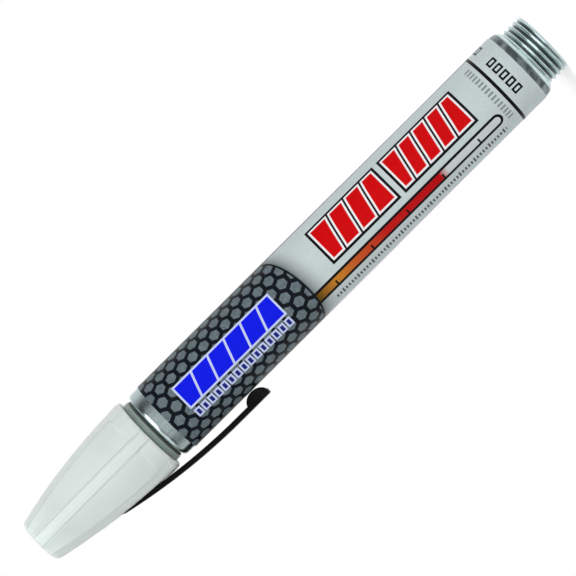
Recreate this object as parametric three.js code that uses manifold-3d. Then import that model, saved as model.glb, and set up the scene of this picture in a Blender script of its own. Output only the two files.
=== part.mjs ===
// Valve-action paint marker for hot metal, standing on its tail with the cap on.
// Units are millimetres. +Z runs from the tail face at z = 0 to the tip of the cap.
// The front faces -Y, and the pocket clip lies on the -X side.
import * as THREE from "three";
import { mergeVertices } from "three/addons/utils/BufferGeometryUtils.js";
import Module from "manifold-3d";

const wasm = await Module();
wasm.setup();

// Driving dimensions of the whole marker
const OVERALL_LENGTH = 139.7;
const BARREL_TOP = 107.5;
const CAP_RIM = 109.2;
const ROUND = 48; // sides of every turned piece
const RUNNING_GAP = 0.1; // between pieces that touch or slide on each other

// Aluminium barrel
const BARREL_RADIUS = 8.06;
const BARREL_WALL = 0.45;
const BARREL_FLOOR = 0.8;
const NECK_RADIUS = 6.65; // mean radius of the rolled thread
const NECK_WALL = 0.5;
const NECK_TOP = 4.8;
const NECK_LIP = 0.4;
const SHOULDER_TOP = 7.2;
const MOUTH_RADIUS = 6.6;
const MOUTH_CURL = 1.3;

// Printed film round the barrel
const SLEEVE_INNER = 8.09;
const SLEEVE_OUTER = 8.19;
const SLEEVE_BOTTOM = 7.2;
const SLEEVE_TOP = 104.4;

// Front section that holds the nib and the valve
const SKIRT_RADIUS = 6.45;
const SKIRT_BOTTOM = 99.5;
const COLLAR_RADIUS = 7.45;
const COLLAR_BOTTOM = 107.9;
const COLLAR_TOP = 109.05;
const SCREW_NECK_RADIUS = 6.6;
const SCREW_NECK_TOP = 117.2;
const NOSE_BASE_RADIUS = 4.7;
const NOSE_BASE = 118;
const NOSE_TIP_RADIUS = 2.9;
const NOSE_TIP = 127.8;
const NIB_BORE_RADIUS = 2.1;
const WADDING_BORE_RADIUS = 3.5;
const WADDING_BORE_TOP = 119;
const VALVE_BAY_RADIUS = 5.3;
const VALVE_BAY_TOP = 111;
const GASKET_GAP = 0.03;
const GASKET_MARGIN = 0.2; // from the collar's edge to the gasket's

// Nib and valve
const NIB_RADIUS = 1.95;
const NIB_BOTTOM = 112.6;
const NIB_SHOULDER = 128.6;
const NIB_TIP = 131.4;
const WADDING_BOTTOM = 113;
const WADDING_TOP = 118.4;
const SEAT_BOTTOM = 110.15;
const SEAT_TOP = 110.9;
const SEAT_BORE_RADIUS = 1.7;
const CAGE_RADIUS = 5.2;
const CAGE_WALL = 0.8;
const CAGE_BOTTOM = 92;
const CAGE_TOP = 110.05;
const CAGE_LIP = 0.8;
const CAGE_WINDOWS = 4;
const WINDOW_WIDTH = 3;
const WINDOW_BOTTOM = 95.6;
const WINDOW_TOP = 98.8;
const ROD_RADIUS = 1;
const ROD_STEM_RADIUS = 1.2;
const ROD_BOTTOM = 91.6;
const ROD_TOP = 112.3;
const ROD_HEAD_RADIUS = 3.1;
const ROD_HEAD_BOTTOM = 107.95;
const ROD_HEAD_RIM = 1;
const SPRING_RADIUS = 2.6;
const SPRING_WIRE_RADIUS = 0.25;
const SPRING_TURNS = 8;
const SPRING_END_GAP = 0.12;
const RETAINER_THICKNESS = 1;
const RETAINER_BORE_RADIUS = 1.3;
const RETAINER_BOSS_RADIUS = 1.95;
const RETAINER_BOSS_HEIGHT = 1.5;
const RETAINER_HOLES = 3;
const RETAINER_HOLE_RADIUS = 0.7;
const RETAINER_HOLE_CIRCLE = 3.2;

// Mixing balls, side by side in the neck
const BALL_RADIUS = 2.5;
const BALL_OFFSET = 2.75;
const BALL_LIFT = 0.05; // over the barrel's floor

// Cap: a long taper that swells to the rim, with flat ribs, creases beside them, hollow panels and a band
const CAP_RADIUS = 8.6;
const CAP_TAPER_ARC = 117.7;
const CAP_SHOULDER = 138.3;
const CAP_TIP_RADIUS = 3.9;
const CAP_RIBS = 6;
const RIB_WIDTH = 2.5;
const RIB_HEIGHT = 0.3;
const CREASE_WIDTH = 0.3; // of one wall of a crease
const CREASE_DEPTH = 0.15;
const PANEL_STEPS = 5;
const BAND_TOP = 112.2;
const BAND_FADE = 0.6;
const BAND_HEIGHT = 0.12;
const RIM_BEVEL = 0.8;
const RIM_EDGE = 0.15;
const CAP_BORE_RADIUS = 6.85;
const CAP_BORE_TOP = 117.8;
const CAP_BORE_LEAD = 0.4;
const CAP_CAVITY_LOW_RADIUS = 5.7;
const CAP_CAVITY_HIGH_RADIUS = 5.15;
const CAP_CAVITY_TOP = 133.9;

// Inner cap and its seal
const LINER_RADIUS = 5;
const LINER_WALL = 0.75;
const LINER_BOTTOM = 120.6;
const LINER_TOP = 133.55;
const SEAL_RADIUS = 4.1;
const SEAL_THICKNESS = 0.8;
const LINER_LEAD = 0.3;

// Pocket clip: an arched strip with a foot in the cap and a bead on its free end
const CLIP_THICKNESS = 1.4;
const CLIP_REACH = 11.05; // from the marker's axis to the outer face, at the free end
const CLIP_ARC = 133;
const CLIP_STRAIGHT_TOP = 94.5;
const CLIP_TOP = 123.75;
const CLIP_FOOT_DEPTH = 6.25;
const CLIP_FOOT_WIDTH = 1.5;
const CLIP_ROOT_WIDTH = 4.4;
const CLIP_END_WIDTH = 3.8;
const CLIP_BOTTOM = 86.3;
const BEAD_CENTRE = 89.1;
const BEAD_HALF_LENGTH = 2.7;
const BEAD_FLOOR = 8.32;
const CLIP_CLEARANCE = 0.3;
const CLIP_CORNER = 0.5;

function finish(color, roughness, metalness) {
  return new THREE.MeshStandardMaterial({ color, roughness, metalness });
}

const materials = {
  aluminium: finish(0xb9bfc0, 0.32, 0.9),
  film: finish(0x8b9696, 0.4, 0.1),
  capPlastic: finish(0xdde5e1, 0.38, 0),
  collarPlastic: finish(0xc9d4ce, 0.42, 0),
  linerPlastic: finish(0xe8ebe6, 0.5, 0),
  clipBlack: finish(0x111211, 0.3, 0.1),
  rubber: finish(0x23211f, 0.7, 0),
  felt: finish(0xf1efe6, 0.95, 0),
  valvePlastic: finish(0xe2e4e0, 0.45, 0),
  steel: finish(0xa7abad, 0.25, 1),
};

const marker = new THREE.Group();

function addPiece(name, geometry, material) {
  const mesh = new THREE.Mesh(geometry, material);
  mesh.name = name;
  marker.add(mesh);
}

// Points of an arc, or of a quarter of an ellipse, in a profile of [radius, height] pairs.
function arc(centre, radii, fromDegrees, toDegrees, steps) {
  const points = [];
  for (let i = 0; i <= steps; i++) {
    const angle = THREE.MathUtils.degToRad(fromDegrees + ((toDegrees - fromDegrees) * i) / steps);
    points.push([centre[0] + radii[0] * Math.cos(angle), centre[1] + radii[1] * Math.sin(angle)]);
  }
  return points;
}

// Turns a profile of [radius, height] pairs round +Z. It runs up the outside and back down the inside.
function revolve(profile, sides = ROUND) {
  const closed = profile[0][0] === 0 ? profile : [...profile, profile[0]];
  const points = closed.map(([radius, height]) => new THREE.Vector2(radius, height));
  return new THREE.LatheGeometry(points, sides).rotateX(Math.PI / 2);
}

function ring(inner, outer, bottom, top) {
  return revolve([
    [inner, bottom],
    [outer, bottom],
    [outer, top],
    [inner, top],
  ]);
}

function toSolid(geometry) {
  const bare = geometry.clone();
  bare.deleteAttribute("normal");
  bare.deleteAttribute("uv");
  const merged = mergeVertices(bare, 1e-4);
  return new wasm.Manifold(
    new wasm.Mesh({
      numProp: 3,
      vertProperties: merged.attributes.position.array,
      triVerts: new Uint32Array(merged.index.array),
    }),
  );
}

function toGeometry(solid) {
  const mesh = solid.getMesh();
  const geometry = new THREE.BufferGeometry();
  geometry.setAttribute("position", new THREE.BufferAttribute(mesh.vertProperties, mesh.numProp));
  geometry.setIndex(new THREE.BufferAttribute(mesh.triVerts, 1));
  geometry.computeVertexNormals();
  return geometry;
}

function cut(geometry, ...tools) {
  return toGeometry(tools.reduce((solid, tool) => solid.subtract(toSolid(tool)), toSolid(geometry)));
}

// A shape of [height, distance from the axis] pairs, made thick across the clip's width.
function clipwiseExtrusion(outline, width) {
  const shape = new THREE.Shape(outline.map(([height, distance]) => new THREE.Vector2(height, distance)));
  const geometry = new THREE.ExtrudeGeometry(shape, { depth: width, bevelEnabled: false });
  const heightAxis = new THREE.Vector3(0, 0, 1);
  const outwardAxis = new THREE.Vector3(-1, 0, 0);
  const widthAxis = new THREE.Vector3(0, -1, 0);
  geometry.applyMatrix4(new THREE.Matrix4().makeBasis(heightAxis, outwardAxis, widthAxis));
  return geometry.translate(0, width / 2, 0);
}

// Closed skin over rings of points with equal counts, ended by a point on the axis at each end.
function skin(startPoint, rings, endPoint) {
  const count = rings[0].length;
  const positions = [startPoint, ...rings.flat(), endPoint].flatMap((p) => [p.x, p.y, p.z]);
  const last = 1 + rings.length * count;
  const index = [];
  for (let side = 0; side < count; side++) {
    const next = (side + 1) % count;
    index.push(0, 1 + side, 1 + next);
    for (let level = 0; level + 1 < rings.length; level++) {
      const low = 1 + level * count;
      const high = low + count;
      index.push(low + side, high + side, high + next);
      index.push(low + side, high + next, low + next);
    }
    index.push(last, last - count + next, last - count + side);
  }
  const geometry = new THREE.BufferGeometry();
  geometry.setAttribute("position", new THREE.Float32BufferAttribute(positions, 3));
  geometry.setIndex(index);
  geometry.computeVertexNormals();
  return geometry;
}

// Barrel and its printed film

function makeBarrel() {
  const inner = BARREL_RADIUS - BARREL_WALL;
  const shoulderDepth = BARREL_RADIUS - NECK_RADIUS;
  const shoulderHeight = SHOULDER_TOP - NECK_TOP;
  const innerNeck = NECK_RADIUS - NECK_WALL;
  const curlHeight = BARREL_TOP - MOUTH_CURL;
  const curlCentre = BARREL_RADIUS - MOUTH_CURL;
  const innerCurl = MOUTH_CURL - BARREL_WALL;
  return revolve([
    [0, 0],
    ...arc([NECK_RADIUS - NECK_LIP, NECK_LIP], [NECK_LIP, NECK_LIP], -90, 0, 3),
    ...arc([NECK_RADIUS, SHOULDER_TOP], [shoulderDepth, shoulderHeight], -90, 0, 6),
    ...arc([curlCentre, curlHeight], [MOUTH_CURL, MOUTH_CURL], 0, 90, 6),
    [MOUTH_RADIUS, BARREL_TOP],
    [MOUTH_RADIUS, BARREL_TOP - BARREL_WALL],
    ...arc([curlCentre, curlHeight], [innerCurl, innerCurl], 90, 0, 4),
    ...arc([innerNeck, SHOULDER_TOP], [inner - innerNeck, shoulderHeight - BARREL_WALL], 0, -90, 4),
    [innerNeck, BARREL_FLOOR],
    [0, BARREL_FLOOR],
  ]);
}

addPiece("barrel", makeBarrel(), materials.aluminium);
addPiece("label_sleeve", ring(SLEEVE_INNER, SLEEVE_OUTER, SLEEVE_BOTTOM, SLEEVE_TOP), materials.film);

// Front section, its gasket, the nib and its wadding

function makeFrontSection() {
  const chamfer = 0.4;
  return revolve([
    [VALVE_BAY_RADIUS, SKIRT_BOTTOM],
    [SKIRT_RADIUS - chamfer, SKIRT_BOTTOM],
    [SKIRT_RADIUS, SKIRT_BOTTOM + 2 * chamfer],
    [SKIRT_RADIUS, COLLAR_BOTTOM],
    [COLLAR_RADIUS, COLLAR_BOTTOM],
    [COLLAR_RADIUS, COLLAR_TOP],
    [SCREW_NECK_RADIUS, COLLAR_TOP],
    [SCREW_NECK_RADIUS, SCREW_NECK_TOP - chamfer],
    [SCREW_NECK_RADIUS - chamfer, SCREW_NECK_TOP],
    [NOSE_BASE_RADIUS + chamfer, SCREW_NECK_TOP],
    [NOSE_BASE_RADIUS, NOSE_BASE],
    [NOSE_TIP_RADIUS, NOSE_TIP - chamfer],
    [NOSE_TIP_RADIUS - chamfer, NOSE_TIP],
    [NIB_BORE_RADIUS, NOSE_TIP],
    [NIB_BORE_RADIUS, WADDING_BORE_TOP + chamfer],
    [WADDING_BORE_RADIUS, WADDING_BORE_TOP - chamfer],
    [WADDING_BORE_RADIUS, VALVE_BAY_TOP],
    [VALVE_BAY_RADIUS, VALVE_BAY_TOP],
  ]);
}

function makeNib() {
  const chamfer = 0.25;
  return revolve(
    [
      [0, NIB_BOTTOM],
      [NIB_RADIUS - chamfer, NIB_BOTTOM],
      [NIB_RADIUS, NIB_BOTTOM + chamfer],
      ...arc([0, NIB_SHOULDER], [NIB_RADIUS, NIB_TIP - NIB_SHOULDER], 0, 80, 6),
      [0, NIB_TIP],
    ],
    ROUND / 2,
  );
}

function makeGasket() {
  const inner = MOUTH_RADIUS + GASKET_GAP;
  const outer = COLLAR_RADIUS - GASKET_MARGIN;
  return ring(inner, outer, BARREL_TOP + GASKET_GAP, COLLAR_BOTTOM - GASKET_GAP);
}

function makeWadding() {
  return ring(NIB_RADIUS + RUNNING_GAP, WADDING_BORE_RADIUS - RUNNING_GAP, WADDING_BOTTOM, WADDING_TOP);
}

addPiece("front_section", makeFrontSection(), materials.collarPlastic);
addPiece("front_gasket", makeGasket(), materials.rubber);
addPiece("nib", makeNib(), materials.felt);
addPiece("nib_wadding", makeWadding(), materials.felt);

// Valve: seat, cage, moving rod, spring and the disc that the spring stands on

function makeSeat() {
  return ring(SEAT_BORE_RADIUS, VALVE_BAY_RADIUS - RUNNING_GAP, SEAT_BOTTOM, SEAT_TOP);
}

function makeCage() {
  const inner = CAGE_RADIUS - CAGE_WALL;
  const cage = revolve([
    [inner - CAGE_LIP, CAGE_BOTTOM],
    [CAGE_RADIUS, CAGE_BOTTOM],
    [CAGE_RADIUS, CAGE_TOP],
    [inner, CAGE_TOP],
    [inner, CAGE_BOTTOM + CAGE_LIP],
    [inner - CAGE_LIP, CAGE_BOTTOM + CAGE_LIP],
  ]);
  const windows = [];
  for (let i = 0; i < CAGE_WINDOWS; i++) {
    const window = new THREE.BoxGeometry(WINDOW_WIDTH, 2 * CAGE_WALL + 1, WINDOW_TOP - WINDOW_BOTTOM);
    window.translate(0, -CAGE_RADIUS, (WINDOW_TOP + WINDOW_BOTTOM) / 2);
    windows.push(window.rotateZ((2 * Math.PI * i) / CAGE_WINDOWS));
  }
  return cut(cage, ...windows);
}

function makeValveRod() {
  const chamfer = 0.2;
  return revolve(
    [
      [0, ROD_BOTTOM],
      [ROD_RADIUS - chamfer, ROD_BOTTOM],
      [ROD_RADIUS, ROD_BOTTOM + chamfer],
      [ROD_RADIUS, ROD_HEAD_BOTTOM],
      [ROD_HEAD_RADIUS, ROD_HEAD_BOTTOM],
      [ROD_HEAD_RADIUS, ROD_HEAD_BOTTOM + ROD_HEAD_RIM],
      [SEAT_BORE_RADIUS + chamfer, SEAT_BOTTOM - RUNNING_GAP],
      [ROD_STEM_RADIUS, SEAT_BOTTOM - RUNNING_GAP],
      [ROD_STEM_RADIUS, ROD_TOP - chamfer],
      [ROD_STEM_RADIUS - chamfer, ROD_TOP],
      [0, ROD_TOP],
    ],
    ROUND / 3,
  );
}

const retainerBottom = CAGE_BOTTOM + CAGE_LIP + RUNNING_GAP;
const retainerTop = retainerBottom + RETAINER_THICKNESS;

function makeRetainer() {
  const rim = CAGE_RADIUS - CAGE_WALL - RUNNING_GAP;
  const bossTop = retainerTop + RETAINER_BOSS_HEIGHT;
  const disc = revolve([
    [RETAINER_BORE_RADIUS, retainerBottom],
    [rim, retainerBottom],
    [rim, retainerTop],
    [RETAINER_BOSS_RADIUS, retainerTop],
    [RETAINER_BOSS_RADIUS, bossTop],
    [RETAINER_BORE_RADIUS, bossTop],
  ]);
  const middle = (retainerBottom + retainerTop) / 2;
  const holes = [];
  for (let i = 0; i < RETAINER_HOLES; i++) {
    const depth = 2 * RETAINER_THICKNESS;
    const hole = new THREE.CylinderGeometry(RETAINER_HOLE_RADIUS, RETAINER_HOLE_RADIUS, depth, 16);
    hole.rotateX(Math.PI / 2).translate(0, -RETAINER_HOLE_CIRCLE, middle);
    holes.push(hole.rotateZ((2 * Math.PI * i) / RETAINER_HOLES));
  }
  return cut(disc, ...holes);
}

class Helix extends THREE.Curve {
  constructor(radius, bottom, top, turns) {
    super();
    Object.assign(this, { radius, bottom, top, turns });
  }
  getPoint(t, target = new THREE.Vector3()) {
    const angle = 2 * Math.PI * this.turns * t;
    const height = THREE.MathUtils.lerp(this.bottom, this.top, t);
    return target.set(this.radius * Math.cos(angle), this.radius * Math.sin(angle), height);
  }
}

function makeSpring() {
  const endGap = SPRING_WIRE_RADIUS + SPRING_END_GAP;
  const path = new Helix(SPRING_RADIUS, retainerTop + endGap, ROD_HEAD_BOTTOM - endGap, SPRING_TURNS);
  const wire = new THREE.Shape();
  wire.absarc(0, 0, SPRING_WIRE_RADIUS, 0, 2 * Math.PI);
  return new THREE.ExtrudeGeometry(wire, { steps: 16 * SPRING_TURNS, curveSegments: 3, extrudePath: path });
}

addPiece("valve_seat", makeSeat(), materials.rubber);
addPiece("valve_housing", makeCage(), materials.valvePlastic);
addPiece("valve_rod", makeValveRod(), materials.valvePlastic);
addPiece("valve_spring", makeSpring(), materials.steel);
addPiece("spring_retainer", makeRetainer(), materials.valvePlastic);

// Mixing balls

function makeBall(x) {
  const height = BARREL_FLOOR + BALL_RADIUS + BALL_LIFT;
  return new THREE.IcosahedronGeometry(BALL_RADIUS, 4).translate(x, 0, height);
}

addPiece("mixing_ball_1", makeBall(-BALL_OFFSET), materials.steel);
addPiece("mixing_ball_2", makeBall(BALL_OFFSET), materials.steel);

// Cap shell

// Radius under the cap's relief: an arc that meets the rim square.
function capTaper(height) {
  const rise = height - CAP_RIM;
  return CAP_RADIUS - (CAP_TAPER_ARC - Math.sqrt(CAP_TAPER_ARC ** 2 - rise ** 2));
}

const ribSpacing = (2 * Math.PI) / CAP_RIBS;

// How far the moulding stands over the taper, at a distance round the ring from the nearest rib's centre.
function capRelief(height, fromRib, radius) {
  if (fromRib <= RIB_WIDTH / 2) {
    return RIB_HEIGHT;
  }
  const foot = RIB_WIDTH / 2 + 2 * CREASE_WIDTH;
  const halfSpacing = (ribSpacing / 2) * radius;
  const place = Math.min(1, (halfSpacing - fromRib) / (halfSpacing - foot));
  const band = 1 - THREE.MathUtils.smoothstep(height, BAND_TOP, BAND_TOP + BAND_FADE);
  const panel = THREE.MathUtils.lerp(RIB_HEIGHT * place ** 2, BAND_HEIGHT, band);
  const crease = Math.max(0, 1 - Math.abs(fromRib - (foot - CREASE_WIDTH)) / CREASE_WIDTH);
  return panel - CREASE_DEPTH * crease;
}

// Angles of one sector from rib to rib: the rib's edges, a crease, the panel and the next rib's crease.
function sectorAngles(radius) {
  const rib = RIB_WIDTH / 2 / radius;
  const crease = rib + CREASE_WIDTH / radius;
  const foot = crease + CREASE_WIDTH / radius;
  const panel = [];
  for (let i = 0; i <= PANEL_STEPS; i++) {
    panel.push(THREE.MathUtils.lerp(foot, ribSpacing - foot, i / PANEL_STEPS));
  }
  return [-rib, rib, crease, ...panel, ribSpacing - crease];
}

const columns = CAP_RIBS * sectorAngles(CAP_RADIUS).length;

function capPoint(radius, angle, height) {
  return new THREE.Vector3(-radius * Math.sin(angle), -radius * Math.cos(angle), height);
}

function capRing(height, baseRadius, reliefShare = 1) {
  const points = [];
  for (let rib = 0; rib < CAP_RIBS; rib++) {
    for (const fromRib of sectorAngles(baseRadius)) {
      const nearest = Math.min(Math.abs(fromRib), ribSpacing - fromRib) * baseRadius;
      const radius = baseRadius + reliefShare * capRelief(height, nearest, baseRadius);
      points.push(capPoint(radius, rib * ribSpacing + fromRib, height));
    }
  }
  return points;
}

// A round ring of the bore, with evenly spaced points.
function boreRing(height, radius) {
  const points = [];
  for (let i = 0; i < columns; i++) {
    points.push(capPoint(radius, (2 * Math.PI * (i - 0.5)) / columns, height));
  }
  return points;
}

function makeCapShell() {
  const taperBottom = BAND_TOP + BAND_FADE;
  const rings = [
    boreRing(CAP_CAVITY_TOP, CAP_CAVITY_HIGH_RADIUS),
    boreRing(CAP_BORE_TOP + 2 * CAP_BORE_LEAD, CAP_CAVITY_LOW_RADIUS),
    boreRing(CAP_BORE_TOP, CAP_BORE_RADIUS),
    boreRing(CAP_RIM + CAP_BORE_LEAD, CAP_BORE_RADIUS),
    boreRing(CAP_RIM, CAP_BORE_RADIUS + CAP_BORE_LEAD),
    capRing(CAP_RIM, CAP_RADIUS - RIM_EDGE, 0),
    capRing(CAP_RIM + RIM_BEVEL, CAP_RADIUS),
    capRing(BAND_TOP, capTaper(BAND_TOP)),
    capRing(taperBottom, capTaper(taperBottom)),
  ];
  const taperSteps = 10;
  for (let i = 1; i <= taperSteps; i++) {
    const height = THREE.MathUtils.lerp(taperBottom, CAP_SHOULDER, i / taperSteps);
    rings.push(capRing(height, capTaper(height)));
  }
  const tipDepth = OVERALL_LENGTH - CAP_SHOULDER;
  const tipReach = capTaper(CAP_SHOULDER) - CAP_TIP_RADIUS;
  const dome = arc([CAP_TIP_RADIUS, CAP_SHOULDER], [tipReach, tipDepth], 0, 90, 3);
  for (const [radius, height] of dome.slice(1)) {
    rings.push(capRing(height, radius, (radius - CAP_TIP_RADIUS) / tipReach));
  }
  const roof = new THREE.Vector3(0, 0, CAP_CAVITY_TOP);
  const tip = new THREE.Vector3(0, 0, OVERALL_LENGTH);
  return skin(roof, rings, tip);
}

// Distance of the clip's outer face from the marker's axis.
function clipOuter(height) {
  const rise = Math.max(0, height - CLIP_STRAIGHT_TOP);
  return CLIP_REACH - (CLIP_ARC - Math.sqrt(CLIP_ARC ** 2 - rise ** 2));
}

function clipInner(height) {
  return clipOuter(height) - CLIP_THICKNESS;
}

// The seat in the cap: a ramp under the strip, and a pocket for its foot.
function makeClipSeat() {
  const beyond = CLIP_REACH + 1;
  const bottom = CAP_RIM - 1;
  const pocketBottom = CLIP_TOP - CLIP_FOOT_WIDTH - CLIP_CLEARANCE;
  const pocketTop = CLIP_TOP + CLIP_CLEARANCE;
  const pocketFloor = CLIP_FOOT_DEPTH - CLIP_CLEARANCE;
  const outline = [[bottom, beyond]];
  const steps = 8;
  for (let i = 0; i <= steps; i++) {
    const height = THREE.MathUtils.lerp(bottom, pocketBottom, i / steps);
    outline.push([height, clipInner(height) - CLIP_CLEARANCE]);
  }
  outline.push([pocketBottom, pocketFloor], [pocketTop, pocketFloor], [pocketTop, beyond]);
  return clipwiseExtrusion(outline, CLIP_ROOT_WIDTH + 2 * CLIP_CLEARANCE);
}

addPiece("cap_shell", cut(makeCapShell(), makeClipSeat()), materials.capPlastic);

// Inner cap and seal disc

function makeLiner() {
  const inner = LINER_RADIUS - LINER_WALL;
  const roof = LINER_TOP - LINER_WALL;
  return revolve([
    [0, roof],
    [inner, roof],
    [inner, LINER_BOTTOM + 2 * LINER_LEAD],
    [inner + LINER_LEAD, LINER_BOTTOM],
    [LINER_RADIUS, LINER_BOTTOM],
    [LINER_RADIUS, LINER_TOP - LINER_LEAD],
    [LINER_RADIUS - LINER_LEAD, LINER_TOP],
    [0, LINER_TOP],
  ]);
}

function makeSealDisc() {
  const top = LINER_TOP - LINER_WALL - RUNNING_GAP;
  const disc = new THREE.CylinderGeometry(SEAL_RADIUS, SEAL_RADIUS, SEAL_THICKNESS, ROUND);
  return disc.rotateX(Math.PI / 2).translate(0, 0, top - SEAL_THICKNESS / 2);
}

addPiece("cap_liner", makeLiner(), materials.linerPlastic);
addPiece("cap_seal_disc", makeSealDisc(), materials.rubber);

// Pocket clip

// Side view of the clip: over the arch and the foot, then back under the strip and round the bead.
function clipSide() {
  const outline = [];
  const steps = 16;
  const archTop = CLIP_TOP - CLIP_CORNER;
  for (let i = 0; i <= steps; i++) {
    const height = THREE.MathUtils.lerp(CLIP_STRAIGHT_TOP, archTop, i / steps);
    outline.push([height, clipOuter(height)]);
  }
  const footBottom = CLIP_TOP - CLIP_FOOT_WIDTH;
  outline.push([CLIP_TOP, clipOuter(CLIP_TOP) - CLIP_CORNER]);
  outline.push([CLIP_TOP, CLIP_FOOT_DEPTH], [footBottom, CLIP_FOOT_DEPTH]);
  for (let i = 0; i <= steps; i++) {
    const height = THREE.MathUtils.lerp(footBottom, CLIP_STRAIGHT_TOP, i / steps);
    outline.push([height, clipInner(height)]);
  }
  const beadMiddle = CLIP_REACH - CLIP_THICKNESS / 2;
  const beadDepth = beadMiddle - BEAD_FLOOR;
  const beadStart = THREE.MathUtils.radToDeg(Math.asin(CLIP_THICKNESS / 2 / beadDepth));
  outline.push(...arc([BEAD_CENTRE, beadMiddle], [BEAD_HALF_LENGTH, beadDepth], -beadStart, -180, 10));
  outline.push([CLIP_BOTTOM + CLIP_CORNER, CLIP_REACH]);
  return outline;
}

// Front view of the clip: full width in the cap, then narrower down to a round end.
function clipPlan() {
  const halfRoot = CLIP_ROOT_WIDTH / 2;
  const halfEnd = CLIP_END_WIDTH / 2;
  const endCentre = CLIP_BOTTOM + halfEnd;
  const beyond = CLIP_TOP + 1;
  const plan = new THREE.Shape();
  plan.moveTo(halfRoot, beyond);
  plan.lineTo(-halfRoot, beyond);
  plan.lineTo(-halfRoot, CAP_RIM);
  plan.lineTo(-halfEnd, endCentre);
  plan.absarc(0, endCentre, halfEnd, Math.PI, 2 * Math.PI);
  plan.lineTo(halfRoot, CAP_RIM);
  return plan;
}

function makeClip() {
  const strip = clipwiseExtrusion(clipSide(), CLIP_ROOT_WIDTH);
  const depth = CLIP_REACH + 1;
  const cutter = new THREE.ExtrudeGeometry(clipPlan(), { depth, bevelEnabled: false, curveSegments: 12 });
  const widthAxis = new THREE.Vector3(0, 1, 0);
  const heightAxis = new THREE.Vector3(0, 0, 1);
  const depthAxis = new THREE.Vector3(1, 0, 0);
  cutter.applyMatrix4(new THREE.Matrix4().makeBasis(widthAxis, heightAxis, depthAxis));
  cutter.translate(-depth, 0, 0);
  return toGeometry(toSolid(strip).intersect(toSolid(cutter)));
}

addPiece("clip", makeClip(), materials.clipBlack);

export default marker;
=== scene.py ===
"""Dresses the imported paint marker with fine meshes, printed film, metal and plastic finishes.

The marker stands on its tail in the row frame: +Z runs to the cap's tip, -Y is the printed front and the clip
lies on -X. Sizes are in millimetres and angles round the marker start at the front and grow towards the clip.
"""

import math

import bpy
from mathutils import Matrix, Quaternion, Vector


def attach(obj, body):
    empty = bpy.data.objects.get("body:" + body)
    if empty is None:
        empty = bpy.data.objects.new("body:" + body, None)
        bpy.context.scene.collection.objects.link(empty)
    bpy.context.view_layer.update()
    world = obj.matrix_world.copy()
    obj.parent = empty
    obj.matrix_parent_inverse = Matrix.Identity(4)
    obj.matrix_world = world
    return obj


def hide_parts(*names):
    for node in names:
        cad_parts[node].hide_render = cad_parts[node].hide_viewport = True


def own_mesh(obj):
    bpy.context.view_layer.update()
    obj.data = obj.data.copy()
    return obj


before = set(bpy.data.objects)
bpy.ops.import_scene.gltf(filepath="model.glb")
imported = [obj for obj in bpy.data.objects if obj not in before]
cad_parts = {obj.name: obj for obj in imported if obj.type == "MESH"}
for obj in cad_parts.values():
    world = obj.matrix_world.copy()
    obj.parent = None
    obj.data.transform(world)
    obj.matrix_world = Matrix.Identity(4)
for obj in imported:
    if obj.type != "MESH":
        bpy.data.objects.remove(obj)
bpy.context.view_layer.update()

MM = 0.001

# Driving sizes. The main ones match the solids, unless a comment gives the solid's own
OVERALL_LENGTH = 139.7

BARREL_RADIUS = 8.06
BARREL_TOP = 107.5
BARREL_WALL = 0.45
BARREL_FLOOR = 0.8
MOUTH_RADIUS = 6.6
MOUTH_CURL = 1.3
MOUTH_EDGE = 0.05
NECK_RADIUS = 6.68  # 6.65 in the solid
NECK_WALL = 0.75  # 0.5 in the solid, which has no thread
NECK_LIP = 0.4
NECK_TOP = 4.8
SHOULDER_TOP = 7.2

SLEEVE_RADIUS = 8.19
SLEEVE_THICKNESS = 0.1
SLEEVE_BOTTOM, SLEEVE_TOP = 7.2, 104.4
SLEEVE_EDGE = 0.03

SKIRT_RADIUS, SKIRT_BOTTOM, SKIRT_BEVEL = 6.45, 99.5, 0.4
COLLAR_RADIUS = 7.45
COLLAR_BOTTOM, COLLAR_TOP = 107.9, 109.05
COLLAR_EDGE = 0.15
GASKET_GAP = 0.03
GASKET_MARGIN = 0.2  # from the collar's edge to the gasket's
GASKET_EDGE = 0.1
SCREW_RADIUS, SCREW_TOP = 6.6, 117.2
SCREW_BEVEL_WIDTH, SCREW_BEVEL_HEIGHT = 0.5, 0.4
NOSE_BASE_RADIUS, NOSE_FILLET = 4.7, 0.5
NOSE_TIP_RADIUS, NOSE_TIP, NOSE_EDGE = 2.9, 127.8, 0.4
NIB_BORE_RADIUS = 2.1
WADDING_BORE_RADIUS, WADDING_BORE_TOP, WADDING_BORE_BEVEL = 3.5, 119.0, 0.4
VALVE_BAY_RADIUS, VALVE_BAY_TOP = 5.3, 111.0

NIB_RADIUS, NIB_EDGE = 1.95, 0.25
NIB_BOTTOM, NIB_SHOULDER, NIB_TIP = 112.6, 128.6, 131.4
SPRING_RADIUS, SPRING_WIRE_RADIUS, SPRING_TURNS = 2.6, 0.25, 8
SPRING_SEAT, SPRING_HEAD, SPRING_END_GAP = 93.9, 107.95, 0.12

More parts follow.
